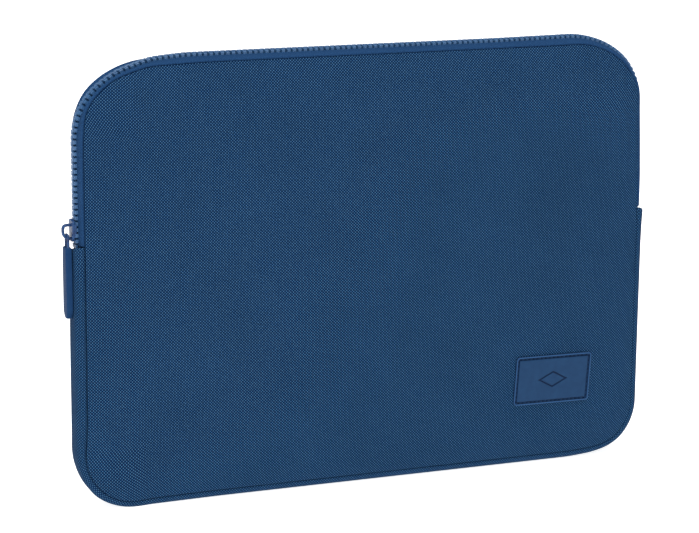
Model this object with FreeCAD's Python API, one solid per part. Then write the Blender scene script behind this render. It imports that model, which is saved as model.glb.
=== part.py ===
"""Padded laptop sleeve with a zipper round its top, standing upright. Millimetres, +Z up, front faces -Y.

The origin is at the bottom centre. Everything follows the sleeve's outline, a rounded rectangle in XZ.
An inset is a distance inwards from that outline, and a station is a distance along it, clockwise as seen
from the front, from the left end of the zipper.
"""

import math
import os

import FreeCAD
import Part
from FreeCAD import Vector

# Overall size
WIDTH = 340.0
HEIGHT = 250.0
DEPTH = 22.0
TOP_CORNER_R = 48.0
BOTTOM_LEFT_R = 36.0
BOTTOM_RIGHT_R = 32.0

# Panels
SEAM_HALF_DEPTH = 9.2  # from the middle to the seam that joins a panel to the gusset
SEAM_INSET = 3.6
CROWN_INSET = 24.0  # inside this the panel is flat
OUTER_T = 0.8
FOAM_BACK_Y = 7.4  # the inner face of the foam, from the middle
LINING_T = 0.5
LAYER_INSET = 6.4  # the foam and the lining stop short of the gusset
FOAM_EDGE_GAP = 0.05

# Gusset, as its outer profile of (depth, inset) from the middle outwards
GUSSET_HALF = [(6.0, 0.0), (7.7, 1.2), (8.35, 3.2)]
GUSSET_OUTER = (0.0, 0.8)  # each layer's outer and inner inset from that profile
GUSSET_FOAM = (0.8, 1.9)
GUSSET_LINING = (1.9, 2.4)
GUSSET_JOIN_X = -60.0  # the outer strip's two lengths meet under the bottom, here

# Seam bindings, square in section
BINDING_DEPTHS = (4.9, 6.8)
BINDING_INSETS = (5.0, 7.0)

# Zipper
ZIP_START_Z = 147.0
FOLD_Z = 166.0  # the front opens about this level
FOLD_GAP = 0.15
TAPE_SEAM = (8.35, 3.2)  # (depth, inset) of the tape's outer face at the seam
TAPE_EDGE = (1.5, 1.8)  # and at the teeth
TAPE_T = 0.8
TOOTH_PITCH = 3.2
TOOTH_W = 1.9
TOOTH_DEPTHS = (0.5, 3.4)
TOOTH_INSETS = (1.0, 3.8)
TOOTH_CLEARANCE = 0.04
FIRST_TOOTH = 4.3
STOP_STATIONS = (0.5, 2.4)

# Slider, at the lower end of its run
SLIDER_Z = (151.0, 163.0)
SLIDER_HALF_W = 4.4
OUTER_PLATE_INSETS = (-0.65, 0.65)
INNER_PLATE_INSETS = (4.1, 5.2)
POST_HALF_T = 0.4
POST_Z = (151.5, 154.5)
FLANGE_Y = 3.8
OUTER_FLANGE_INSET = 1.9
INNER_FLANGE_INSET = 3.45
BRIDGE_Z = (152.0, 159.6)
BRIDGE_OUT = 4.6
BRIDGE_T = 1.25
BRIDGE_HALF_W = 1.25
BRIDGE_R = 3.1
PLATE_CORNER_R = 2.6
CASTING_LAP = 0.3  # how far the posts and flanges run into the plates that they join

# Wire loop and puller
PIVOT_INSET = -2.8
PIVOT_Z = 154.6
WIRE_R = 0.75
LOOP_HALF_W = 2.4
LOOP_R = 1.2
LOOP_END_Z = 144.5
PULLER_Z = (108.5, 148.2)
PULLER_HALF_W = 4.0
PULLER_HALF_T = 1.8
PULLER_EDGE_R = 0.8
PULLER_TOP_R = 1.6

# Patch on the front
PATCH_CENTRE = (112.4, 50.9)
PATCH_SIZE = (48.0, 29.0)
PATCH_R = 4.0
PATCH_BASE_T = 1.0
PATCH_RIM_W = 1.6
PATCH_RIM_T = 1.5
STITCH_INSET = 2.8
STITCH_PITCH = 3.0
STITCH_LENGTH = 2.0
STITCH_T = 0.4
EMBLEM_R = 6.0

SAME = 1e-6  # two coordinates nearer than this are the same

Y = Vector(0, 1, 0)


def at(x, y, z):
    return Vector(x, y, z)


def corner_centres(inset=0.0):
    """The corners clockwise from the bottom left, as (x, z, radius), of the outline moved inwards."""
    half, top = WIDTH / 2, HEIGHT
    return [
        (BOTTOM_LEFT_R - half, BOTTOM_LEFT_R, BOTTOM_LEFT_R - inset),
        (TOP_CORNER_R - half, top - TOP_CORNER_R, TOP_CORNER_R - inset),
        (half - TOP_CORNER_R, top - TOP_CORNER_R, TOP_CORNER_R - inset),
        (half - BOTTOM_RIGHT_R, BOTTOM_RIGHT_R, BOTTOM_RIGHT_R - inset),
    ]


def outline(inset, y):
    """The closed wire of the outline moved inwards, at one depth."""
    edges, ends = [], []
    first_angle = {0: 270, 1: 180, 2: 90, 3: 0}
    for i, (x, z, r) in enumerate(corner_centres(inset)):
        angles = [math.radians(first_angle[i] - step) for step in (0, 45, 90)]
        points = [at(x + r * math.cos(a), y, z + r * math.sin(a)) for a in angles]
        ends.append((points[0], points[2]))
        edges.append(Part.Arc(*points).toShape())
        if i:
            edges.append(Part.LineSegment(ends[i - 1][1], points[0]).toShape())
    edges.append(Part.LineSegment(ends[3][1], ends[0][0]).toShape())
    return Part.Wire(Part.__sortEdges__(edges))


def slab(inset, y0, y1):
    return Part.Face(outline(inset, y0)).extrude(at(0, y1 - y0, 0))


def crowned(shift):
    """A closed solid with a flat back. Its outer side is the crowned front face, moved inwards by shift."""
    edge_y, flat_y = -SEAM_HALF_DEPTH + shift, -DEPTH / 2 + shift
    rings = [outline(SEAM_INSET, edge_y), outline(CROWN_INSET, flat_y)]
    cap = Part.makeLoft(rings, True, True)
    return cap.fuse(slab(SEAM_INSET, edge_y, 0)).removeSplitter()


def box_between(low, high):
    size = [b - a for a, b in zip(low, high, strict=True)]
    return Part.makeBox(*size, Vector(*low))


def above(z):
    return box_between((-WIDTH, -DEPTH, z), (WIDTH, DEPTH, 2 * HEIGHT))


def below(z):
    return box_between((-WIDTH, -DEPTH, -HEIGHT), (WIDTH, DEPTH, z))


def mirrored(shape):
    return shape.mirror(at(0, 0, 0), Y)


def panel_layers():
    """The outer sheet, the foam and the lining of the front panel, each whole."""
    face = crowned(0).cut(crowned(OUTER_T))
    outer = face.common(slab(SEAM_INSET, -DEPTH, -SEAM_HALF_DEPTH + OUTER_T))
    foam = crowned(OUTER_T + FOAM_EDGE_GAP).common(slab(LAYER_INSET, -DEPTH, -FOAM_BACK_Y))
    lining = slab(LAYER_INSET, -FOAM_BACK_Y, -FOAM_BACK_Y + LINING_T)
    return {"outer_panel": outer, "foam": foam, "lining": lining}


def zip_path():
    """(length, function): the function gives x, z and the clockwise turn in degrees at a station."""
    side = HEIGHT - TOP_CORNER_R - ZIP_START_Z
    corner = TOP_CORNER_R * math.pi / 2
    top = WIDTH - 2 * TOP_CORNER_R
    half = WIDTH / 2

    def place(s):
        if s <= side:
            return -half, ZIP_START_Z + s, 0.0
        s -= side
        if s <= corner:
            a = s / TOP_CORNER_R
            shift, rise = TOP_CORNER_R * (1 - math.cos(a)), TOP_CORNER_R * math.sin(a)
            return -half + shift, ZIP_START_Z + side + rise, math.degrees(a)
        s -= corner
        if s <= top:
            return -half + TOP_CORNER_R + s, HEIGHT, 90.0
        s -= top
        if s <= corner:
            a = s / TOP_CORNER_R
            shift, drop = TOP_CORNER_R * math.sin(a), TOP_CORNER_R * (1 - math.cos(a))
            return half - TOP_CORNER_R + shift, HEIGHT - drop, 90.0 + math.degrees(a)
        return half, HEIGHT - TOP_CORNER_R - (s - corner), 180.0

    return 2 * side + 2 * corner + top, place


def profile_face(points, x, z, turn):
    """A face from (depth, inset) points, standing across the outline where it has turned by that angle."""
    a = math.radians(turn)
    inward = at(math.cos(a), 0, -math.sin(a))
    corners = [at(x, y, z) + inward * inset for y, inset in points]
    return Part.Face(Part.makePolygon(corners + corners[:1]))


def run(points, start, end):
    """The profile swept along a straight stretch of the outline, from start to end, both (x, z)."""
    turn = math.degrees(math.atan2(end[0] - start[0], end[1] - start[1]))
    return profile_face(points, *start, turn).extrude(at(end[0] - start[0], 0, end[1] - start[1]))


def bend(points, corner):
    """The profile swept round one corner: 0 is the bottom left, 1 the top left, and so on clockwise."""
    x, z, r = corner_centres()[corner]
    turn = (corner - 1) * 90.0
    a = math.radians(turn)
    start = (x - r * math.cos(a), z + r * math.sin(a))
    return profile_face(points, *start, turn).revolve(at(x, 0, z), Y, 90)


def upper_strip(points):
    """The profile swept from the left end of the zipper, over the top, to its right end."""
    half, knee = WIDTH / 2, HEIGHT - TOP_CORNER_R
    parts = [
        run(points, (-half, ZIP_START_Z), (-half, knee)),
        bend(points, 1),
        run(points, (-half + TOP_CORNER_R, HEIGHT), (half - TOP_CORNER_R, HEIGHT)),
        bend(points, 2),
        run(points, (half, knee), (half, ZIP_START_Z)),
    ]
    return parts[0].multiFuse(parts[1:]).removeSplitter()


def lower_strip(points):
    """The profile swept from the right end of the zipper, along the bottom, to its left end."""
    half = WIDTH / 2
    parts = [
        run(points, (half, ZIP_START_Z), (half, BOTTOM_RIGHT_R)),
        bend(points, 3),
        run(points, (half - BOTTOM_RIGHT_R, 0), (-half + BOTTOM_LEFT_R, 0)),
        bend(points, 0),
        run(points, (-half, BOTTOM_LEFT_R), (-half, ZIP_START_Z)),
    ]
    return parts[0].multiFuse(parts[1:]).removeSplitter()


def offset_line(points, distance):
    """An open line of (depth, inset) points moved inwards, with mitred corners."""
    moved = []
    for i, (y, n) in enumerate(points):
        normals = []
        for a, b in ((i - 1, i), (i, i + 1)):
            if a >= 0 and b < len(points):
                dy, dn = points[b][0] - points[a][0], points[b][1] - points[a][1]
                length = math.hypot(dy, dn)
                normals.append((-dn / length, dy / length))
        ny, nn = sum(n[0] for n in normals), sum(n[1] for n in normals)
        scale = distance * len(normals) / (ny * ny + nn * nn)
        moved.append((y + ny * scale, n + nn * scale))
    return moved


def gusset_layer(insets):
    low, high = insets
    line = [(-y, n) for y, n in reversed(GUSSET_HALF)] + GUSSET_HALF
    return lower_strip(offset_line(line, low) + offset_line(line, high)[::-1])


def tape_profile():
    """The front half of the zipper tape."""
    (y0, n0), (y1, n1) = TAPE_SEAM, TAPE_EDGE
    return [(-y0, n0), (-y1, n1), (-y1, n1 + TAPE_T), (-y0, n0 + TAPE_T)]


def tooth_profile():
    """A front tooth, which grips the tape's edge from both sides."""
    near, far = TOOTH_DEPTHS
    low, high = TOOTH_INSETS
    slope = (TAPE_SEAM[1] - TAPE_EDGE[1]) / (TAPE_SEAM[0] - TAPE_EDGE[0])
    slot = TAPE_EDGE[0] - TOOTH_CLEARANCE
    at_slot, at_far = TAPE_EDGE[1], TAPE_EDGE[1] + slope * (far - TAPE_EDGE[0])
    gap = TOOTH_CLEARANCE
    return [
        (-near, low),
        (-far, low),
        (-far, at_far - gap),
        (-slot, at_slot - gap),
        (-slot, at_slot + TAPE_T + gap),
        (-far, at_far + TAPE_T + gap),
        (-far, high),
        (-near, high),
    ]


def clip_at(profile, station, width):
    """A solid with that profile, centred on a station of the zipper."""
    x, z, turn = zip_path()[1](station)
    a = math.radians(turn)
    along = at(math.sin(a), 0, math.cos(a))
    start = at(x, 0, z) - along * (width / 2)
    return profile_face(profile, start.x, start.z, turn).extrude(along * width)


def flipped(profile):
    return [(-y, n) for y, n in profile]


def tooth_rows():
    """The stations of the front and of the back teeth. The back row is half a pitch further on."""
    length = zip_path()[0] - 2 * FIRST_TOOTH
    count = round(length / TOOTH_PITCH)
    pitch = length / count
    front = [FIRST_TOOTH + i * pitch for i in range(count + 1)]
    return front, [s + pitch / 2 for s in front[:-1]]


def teeth():
    fold = FOLD_Z - ZIP_START_Z
    front, back = tooth_rows()
    length = zip_path()[0]
    profile = tooth_profile()
    rows = {
        "front_zipper_teeth": (profile, [s for s in front if fold < s < length - fold]),
        "front_zipper_end_teeth": (profile, [s for s in front if not fold < s < length - fold]),
        "back_zipper_teeth": (flipped(profile), back),
    }
    solids = {}
    for name, (section, stations) in rows.items():
        solids[name] = Part.makeCompound([clip_at(section, s, TOOTH_W) for s in stations])
    return solids


def zipper_stops():
    """A clip on each row at each end of the zipper."""
    low, high = STOP_STATIONS
    width, middle = high - low, (low + high) / 2
    stations = (middle, zip_path()[0] - middle)
    profiles = (tooth_profile(), flipped(tooth_profile()))
    return Part.makeCompound([clip_at(p, s, width) for s in stations for p in profiles])


def slider():
    """The slider's two plates, the post between them, its flanges and the bridge, as one casting."""
    left = -WIDTH / 2
    z0, z1 = SLIDER_Z
    out0, out1 = (left + n for n in OUTER_PLATE_INSETS)
    in0, in1 = (left + n for n in INNER_PLATE_INSETS)
    w = SLIDER_HALF_W
    outer = box_between((out0, -w, z0), (out1, w, z1))
    inner = box_between((in0, -w, z0), (in1, w, z1))
    plates = []
    for plate in (outer, inner):
        corners = [e for e in plate.Edges if abs(e.Vertexes[0].X - e.Vertexes[-1].X) > SAME]
        plates.append(plate.makeFillet(PLATE_CORNER_R, corners))
    lap = CASTING_LAP
    post = box_between((out1 - lap, -POST_HALF_T, POST_Z[0]), (in0 + lap, POST_HALF_T, POST_Z[1]))
    low, high = z0 + PLATE_CORNER_R, z1 - PLATE_CORNER_R
    outer_flange = box_between((out1 - lap, FLANGE_Y, low), (left + OUTER_FLANGE_INSET, w, high))
    inner_flange = box_between((left + INNER_FLANGE_INSET, FLANGE_Y, low), (in0 + lap, w, high))
    bridge = arch(out0 + lap, out0 - BRIDGE_OUT, BRIDGE_Z, BRIDGE_R, BRIDGE_HALF_W)
    hole_z = (BRIDGE_Z[0] + BRIDGE_T, BRIDGE_Z[1] - BRIDGE_T)
    hole_out = out0 - BRIDGE_OUT + BRIDGE_T
    hole = arch(out0 + lap, hole_out, hole_z, BRIDGE_R - BRIDGE_T, 2 * BRIDGE_HALF_W)
    hole = hole.cut(plates[0])
    parts = [plates[1], post, outer_flange, inner_flange, bridge.cut(hole)]
    return plates[0].multiFuse(parts).removeSplitter()


def arch(x_plate, x_out, z_range, radius, half_w):
    """A block that stands out of the slider, with its two outer corners rounded."""
    block = box_between((x_out, -half_w, z_range[0]), (x_plate, half_w, z_range[1]))
    tips = [e for e in block.Edges if all(abs(v.X - x_out) < SAME for v in e.Vertexes)]
    tips = [e for e in tips if abs(e.Vertexes[0].Y - e.Vertexes[-1].Y) > half_w]
    return block.makeFillet(radius, tips)


def wire_loop():
    """Round wire: up one leg, across through the bridge and down the other leg."""
    x, z = -WIDTH / 2 + PIVOT_INSET, PIVOT_Z
    w, r = LOOP_HALF_W, LOOP_R
    k = r * (1 - math.sqrt(0.5))
    edges = [
        Part.LineSegment(at(x, -w, LOOP_END_Z), at(x, -w, z - r)).toShape(),
        Part.Arc(at(x, -w, z - r), at(x, -w + k, z - k), at(x, -w + r, z)).toShape(),
        Part.LineSegment(at(x, -w + r, z), at(x, w - r, z)).toShape(),
        Part.Arc(at(x, w - r, z), at(x, w - k, z - k), at(x, w, z - r)).toShape(),
        Part.LineSegment(at(x, w, z - r), at(x, w, LOOP_END_Z)).toShape(),
    ]
    section = Part.Wire(Part.makeCircle(WIRE_R, at(x, -w, LOOP_END_Z), at(0, 0, 1)))
    return Part.Wire(edges).makePipeShell([section], True, True)


def puller(loop):
    """The moulded grip: a flat bar with a round lower end, moulded round the legs of the loop."""
    x = -WIDTH / 2 + PIVOT_INSET
    w, t = PULLER_HALF_W, PULLER_HALF_T
    z0, z1 = PULLER_Z
    bar = box_between((x - t, -w, z0 + w), (x + t, w, z1))
    tops = [e for e in bar.Edges if all(abs(v.Z - z1) < SAME for v in e.Vertexes)]
    shoulders = [e for e in tops if abs(e.Vertexes[0].X - e.Vertexes[-1].X) > t]
    bar = bar.makeFillet(PULLER_TOP_R, shoulders)
    end = Part.makeCylinder(w, 2 * t, at(x - t, 0, z0 + w), at(1, 0, 0))
    grip = bar.fuse(end).removeSplitter()
    rims = [e for e in grip.Edges if abs(abs(e.CenterOfMass.x - x) - t) < SAME]
    return grip.makeFillet(PULLER_EDGE_R, rims).cut(loop)


def rounded_plate(size, radius, y0, y1):
    """A plate with round corners, centred where the patch is."""
    (cx, cz), (w, h) = PATCH_CENTRE, size
    plate = box_between((cx - w / 2, y0, cz - h / 2), (cx + w / 2, y1, cz + h / 2))
    corners = [e for e in plate.Edges if abs(e.Vertexes[0].Y - e.Vertexes[-1].Y) > (y1 - y0) / 2]
    return plate.makeFillet(radius, corners)


def patch():
    """The moulded patch: a base, a raised rim and a plain raised diamond in the middle."""
    front = -DEPTH / 2
    w, h = PATCH_SIZE
    inner = (w - 2 * PATCH_RIM_W, h - 2 * PATCH_RIM_W)
    body = rounded_plate(PATCH_SIZE, PATCH_R, front - PATCH_RIM_T, front)
    hollow = rounded_plate(inner, PATCH_R - PATCH_RIM_W, front - 2 * PATCH_RIM_T, front - PATCH_BASE_T)
    cx, cz = PATCH_CENTRE
    r = EMBLEM_R
    tips = ((1, 0), (0, 1), (-1, 0), (0, -1))
    points = [at(cx + r * a, front - PATCH_BASE_T, cz + r * b) for a, b in tips]
    diamond = Part.Face(Part.makePolygon(points + points[:1]))
    emblem = diamond.extrude(at(0, PATCH_BASE_T - PATCH_RIM_T, 0))
    return body.cut(hollow).fuse(emblem)


def patch_stitches():
    """Short stitches on the patch, just inside its rim."""
    front = -DEPTH / 2 - PATCH_BASE_T
    (cx, cz), (w, h) = PATCH_CENTRE, PATCH_SIZE
    solids = []
    half_w, half_h = w / 2 - STITCH_INSET, h / 2 - STITCH_INSET
    for span, other, along_x in ((half_w, half_h, True), (half_h, half_w, False)):
        count = int(2 * span / STITCH_PITCH)
        for side in (-1, 1):
            for i in range(count):
                u = (i - (count - 1) / 2) * STITCH_PITCH
                x, z = cx + side * other, cz + u
                dx, dz = STITCH_T / 2, STITCH_LENGTH / 2
                if along_x:
                    x, z = cx + u, cz + side * other
                    dx, dz = dz, dx
                solids.append(box_between((x - dx, front - STITCH_T, z - dz), (x + dx, front, z + dz)))
    return Part.makeCompound(solids)


def binding():
    """The front ring of binding tape that covers the raw seam allowances inside."""
    (d0, d1), (n0, n1) = BINDING_DEPTHS, BINDING_INSETS
    return slab(n0, -d1, -d0).cut(slab(n1, -DEPTH, 0))


def all_parts():
    lower, upper = below(FOLD_Z - FOLD_GAP), above(FOLD_Z + FOLD_GAP)
    parts = {}
    for name, layer in {**panel_layers(), "seam_binding": binding()}.items():
        parts["back_" + name] = mirrored(layer)
        parts["front_lower_" + name] = layer.common(lower)
        parts["front_upper_" + name] = layer.common(upper)
    outer = gusset_layer(GUSSET_OUTER)
    left_half = box_between((-WIDTH, -DEPTH, -HEIGHT), (GUSSET_JOIN_X, DEPTH, HEIGHT))
    parts["gusset_left_outer_strip"] = outer.common(left_half)
    parts["gusset_right_outer_strip"] = outer.cut(left_half)
    parts["gusset_foam_strip"] = gusset_layer(GUSSET_FOAM)
    parts["gusset_lining_strip"] = gusset_layer(GUSSET_LINING)
    tape = upper_strip(tape_profile())
    parts["front_zipper_tape"] = tape.common(upper)
    parts["front_zipper_tape_ends"] = tape.common(lower)
    parts["back_zipper_tape"] = upper_strip(flipped(tape_profile()))
    parts.update(teeth())
    parts["zipper_stops"] = zipper_stops()
    parts["slider"] = slider()
    parts["pull_wire_loop"] = wire_loop()
    parts["rubber_puller"] = puller(parts["pull_wire_loop"])
    parts["front_patch"] = patch()
    parts["patch_stitches"] = patch_stitches()
    return parts


os.makedirs("parts", exist_ok=True)
for node, shape in all_parts().items():
    shape.exportStep("parts/" + node + ".step")
    print(f"{node}: {len(shape.Solids)} solids, {shape.Volume:.1f} mm3, valid {shape.isValid()}")
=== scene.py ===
import math

import bmesh
import bpy
import numpy as np
from mathutils import Matrix, Vector, noise


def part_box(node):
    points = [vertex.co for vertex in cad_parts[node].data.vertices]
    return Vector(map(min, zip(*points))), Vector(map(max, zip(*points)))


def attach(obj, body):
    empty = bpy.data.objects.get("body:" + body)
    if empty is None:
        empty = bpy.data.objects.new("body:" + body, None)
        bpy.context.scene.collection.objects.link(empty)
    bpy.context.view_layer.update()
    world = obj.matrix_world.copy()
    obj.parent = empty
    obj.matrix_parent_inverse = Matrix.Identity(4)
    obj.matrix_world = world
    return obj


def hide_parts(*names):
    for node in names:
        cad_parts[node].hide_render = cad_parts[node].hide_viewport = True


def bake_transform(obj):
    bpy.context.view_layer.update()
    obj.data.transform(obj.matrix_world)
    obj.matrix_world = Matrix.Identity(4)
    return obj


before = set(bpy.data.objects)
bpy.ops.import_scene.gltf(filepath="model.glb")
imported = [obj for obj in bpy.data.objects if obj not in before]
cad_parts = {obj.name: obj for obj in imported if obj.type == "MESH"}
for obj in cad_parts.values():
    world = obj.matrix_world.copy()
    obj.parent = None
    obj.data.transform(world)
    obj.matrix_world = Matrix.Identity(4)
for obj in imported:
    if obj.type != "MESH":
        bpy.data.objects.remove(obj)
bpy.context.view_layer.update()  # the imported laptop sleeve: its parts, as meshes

mm = 0.001

# ---- camera, light and stage ----

studio = {
    "cameraAt": (-0.4799, -1.2365, 0.4279),
    "lookAt": (-0.0102, 0.0, 0.1249),
    "roll": 0.33,  # degrees
    "lens": 124.0,  # for a sensor 36 wide
    "world": 0.28,
    "key": ("keySun", (-0.12, -0.42, 1.5), 40, 3.05),  # name, where it shines from, degrees wide, strength
    "fill": ("leftSoftbox", (-0.5, -0.95, 0.75), 0.6, 3.2),  # name, place, width, strength
    "floorSize": 30.0,
    "floorDrop": 0.2 * mm,
    "floorColour": "#D0D0D2",
    "floorGlow": 0.9,  # the floor is a lit white table, so shadows on it are faint
}


def linear(hexColour):
    parts = [int(hexColour[i:i + 2], 16) / 255 for i in (1, 3, 5)]
    return tuple(c / 12.92 if c <= 0.04045 else ((c + 0.055) / 1.055) ** 2.4 for c in parts) + (1.0,)


def addNode(tree, kind, inputs=None, **settings):
    # a node with its settings. an input takes a value, a socket, or a node, which means its first output
    made = tree.nodes.new(kind)
    for name, value in settings.items():
        setattr(made, name, value)
    for socket, value in (inputs or {}).items():
        if isinstance(value, bpy.types.Node):
            value = next(out for out in value.outputs if out.enabled)
        if isinstance(value, bpy.types.NodeSocket):
            tree.links.new(value, made.inputs[socket])
        else:
            made.inputs[socket].default_value = value
    return made


def newMaterial(name):
    material = bpy.data.materials.new(name)
    material.use_nodes = True
    tree = material.node_tree
    tree.nodes.clear()
    surface = addNode(tree, "ShaderNodeBsdfPrincipled")
    addNode(tree, "ShaderNodeOutputMaterial", {"Surface": surface.outputs["BSDF"]})
    return material, tree, surface


def showObject(name, data):
    made = bpy.data.objects.new(name, data)
    bpy.context.scene.collection.objects.link(made)
    return made


def aimed(direction):
    return direction.to_track_quat("-Z", "Y").to_matrix()


def makeStage():
    scene = bpy.context.scene
    scene.view_settings.view_transform = "Standard"
    camera = showObject("camera", bpy.data.cameras.new("camera"))
    camera.data.lens = studio["lens"]
    camera.data.sensor_width = 36.0
    camera.data.clip_start = 0.05
    look = Vector(studio["lookAt"]) - Vector(studio["cameraAt"])
    turned = aimed(look) @ Matrix.Rotation(math.radians(studio["roll"]), 3, "Z")
    camera.matrix_world = Matrix.Translation(studio["cameraAt"]) @ turned.to_4x4()
    scene.camera = camera

    name, origin, angle, strength = studio["key"]
    sun = bpy.data.lights.new(name, "SUN")
    sun.angle, sun.energy = math.radians(angle), strength
    showObject(name, sun).matrix_world = aimed(-Vector(origin)).to_4x4()
    name, origin, width, strength = studio["fill"]
    softbox = bpy.data.lights.new(name, "AREA")
    softbox.size, softbox.energy = width, strength
    aim = aimed(Vector(studio["lookAt"]) - Vector(origin))
    showObject(name, softbox).matrix_world = Matrix.Translation(origin) @ aim.to_4x4()

    world = bpy.data.worlds.new("studioWorld")
    world.use_nodes = True
    sky = world.node_tree.nodes["Background"].inputs
    sky["Color"].default_value = (1.0, 1.0, 1.0, 1.0)
    sky["Strength"].default_value = studio["world"]
    scene.world = world

    half, low = studio["floorSize"] / 2, -studio["floorDrop"]
    mesh = bpy.data.meshes.new("floor")
    mesh.from_pydata([(-half, -half, low), (half, -half, low), (half, half, low), (-half, half, low)], [],
                     [(0, 1, 2, 3)])
    floor = showObject("floor", mesh)
    material, _, surface = newMaterial("paleFloor")  # matt card, lit from below
    for socket, value in (("Base Color", linear(studio["floorColour"])), ("Roughness", 0.9),
                          ("Specular IOR Level", 0.1), ("Emission Color", (1.0, 1.0, 1.0, 1.0)),
                          ("Emission Strength", studio["floorGlow"])):
        surface.inputs[socket].default_value = value
    mesh.materials.append(material)
    print("stage made")


# ---- materials ----

cloth = {
    "threadPitch": 0.83 * mm,  # heavy two-tone polyester canvas, one warp and one weft thread to a cell
    "warp": ("#446C8E", "#3A6287"),  # each thread's tone lies between its two
    "weft": ("#01224C", "#062A54"),
    "gap": "#01122C",
    "cloudiness": (0.93, 1.06),  # the cloth's broad lighter and darker patches
    "cloudScale": 22.0,  # per metre
    "tapePitch": 0.42 * mm,
    "knitPitch": 0.9 * mm,
    "bindingPitch": 0.6 * mm,
    "twistPitch": 0.3 * mm,
    "wander": 0.9,  # how far threads stray from straight, in pitches
    "wanderScale": 0.06,  # and how often, per pitch
    "canvasBump": 0.22 * mm,
    "fineBump": 0.1 * mm,
}


def weave(tree, pitch):
    # a plain weave on the clothUV map: is the warp on top, how high is it, the threads' numbers, the place
    place = addNode(tree, "ShaderNodeUVMap", uv_map="clothUV")
    wander = addNode(tree, "ShaderNodeTexNoise",
                     {"Vector": place, "Scale": cloth["wanderScale"] / pitch, "Detail": 2.0})
    steps = (
        ("SUBTRACT", {0: wander.outputs["Color"], 1: (0.5, 0.5, 0.5)}),
        ("SCALE", {"Scale": cloth["wander"] * pitch}),
        ("ADD", {1: place}),
        ("SCALE", {"Scale": 1 / pitch}),
    )
    counted = None
    for operation, inputs in steps:  # from the place on the cloth to a count of threads, straying a little
        given = {0: counted, **inputs} if counted else inputs
        counted = addNode(tree, "ShaderNodeVectorMath", given, operation=operation)
    number, inCell = (addNode(tree, "ShaderNodeVectorMath", {0: counted}, operation=part)
                      for part in ("FLOOR", "FRACTION"))
    numbers, cell = (addNode(tree, "ShaderNodeSeparateXYZ", {0: part}).outputs for part in (number, inCell))
    total = addNode(tree, "ShaderNodeMath", {0: numbers[0], 1: numbers[1]}, operation="ADD")
    warpOnTop = addNode(tree, "ShaderNodeMath", {0: total, 1: 2.0}, operation="FLOORED_MODULO")
    arcs = []
    for axis in (0, 1):  # a half wave over the cell, each way
        angle = addNode(tree, "ShaderNodeMath", {0: cell[axis], 1: math.pi}, operation="MULTIPLY")
        arcs.append(addNode(tree, "ShaderNodeMath", {0: angle}, operation="SINE"))
    across, along = (addNode(tree, "ShaderNodeMix", {"Factor": warpOnTop, "A": a, "B": b})
                     for a, b in (arcs[::-1], arcs))
    rounder = addNode(tree, "ShaderNodeMath", {0: along, 1: 0.55}, operation="POWER")
    height = addNode(tree, "ShaderNodeMath", {0: across, 1: rounder}, operation="MULTIPLY")
    return warpOnTop, height, number, place


def dress(tree, surface, colour, height, depth, strength, **values):
    # gives a surface its colour, its relief and its even values
    bump = addNode(tree, "ShaderNodeBump", {"Height": height, "Distance": depth, "Strength": strength})
    tree.links.new(next(out for out in colour.outputs if out.enabled), surface.inputs["Base Color"])
    tree.links.new(bump.outputs[0], surface.inputs["Normal"])
    names = {"roughness": "Roughness", "specular": "Specular IOR Level", "sheen": "Sheen Weight"}
    for name, value in values.items():
        surface.inputs[names[name]].default_value = value


def canvas():
    # woven polyester: a lighter warp and a darker weft, each thread a bundle of filaments, quite matt
    material, tree, surface = newMaterial("twoToneCanvas")
    warpOnTop, height, number, place = weave(tree, cloth["threadPitch"])
    threadTone = addNode(tree, "ShaderNodeTexWhiteNoise", {"Vector": number}, noise_dimensions="3D")
    patchy = addNode(tree, "ShaderNodeTexNoise",
                     {"Vector": place, "Scale": cloth["cloudScale"], "Detail": 4.0, "Roughness": 0.6})
    light, dark = (addNode(tree, "ShaderNodeMix", {"Factor": threadTone, "A": linear(a), "B": linear(b)},
                           data_type="RGBA") for a, b in (cloth["warp"], cloth["weft"]))
    thread = addNode(tree, "ShaderNodeMix", {"Factor": warpOnTop, "A": dark, "B": light}, data_type="RGBA")
    lit = addNode(tree, "ShaderNodeMapRange", {"Value": height, "From Min": 0.1, "From Max": 0.75})
    shaded = addNode(tree, "ShaderNodeMix", {"Factor": lit, "A": linear(cloth["gap"]), "B": thread},
                     data_type="RGBA")
    low, high = cloth["cloudiness"]
    cloudy = addNode(tree, "ShaderNodeMapRange", {"Value": patchy, "From Min": 0.3, "From Max": 0.7,
                                                  "To Min": low, "To Max": high})
    grey = addNode(tree, "ShaderNodeCombineColor", {i: cloudy for i in range(3)})
    final = addNode(tree, "ShaderNodeMix", {"Factor": 1.0, "A": shaded, "B": grey}, data_type="RGBA",
                    blend_type="MULTIPLY")
    dress(tree, surface, final, height, cloth["canvasBump"], 0.7, roughness=0.82, specular=0.03)
    return material


def fineWeave(name, colour, darker, pitch, sheen):
    # a close-woven ribbon or lining: one colour, its weave only just seen, smoother than the canvas
    material, tree, surface = newMaterial(name)
    _, height, number, _ = weave(tree, pitch)
    threadTone = addNode(tree, "ShaderNodeTexWhiteNoise", {"Vector": number}, noise_dimensions="3D")
    uneven = addNode(tree, "ShaderNodeMix", {"Factor": threadTone, "A": 0.75, "B": 1.0})
    factor = addNode(tree, "ShaderNodeMath", {0: height, 1: uneven}, operation="MULTIPLY")
    shade = addNode(tree, "ShaderNodeMix", {"Factor": factor, "A": linear(darker), "B": linear(colour)},
                    data_type="RGBA")
    dress(tree, surface, shade, height, cloth["fineBump"], 0.6, roughness=0.75, specular=0.06, sheen=sheen)
    return material


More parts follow.
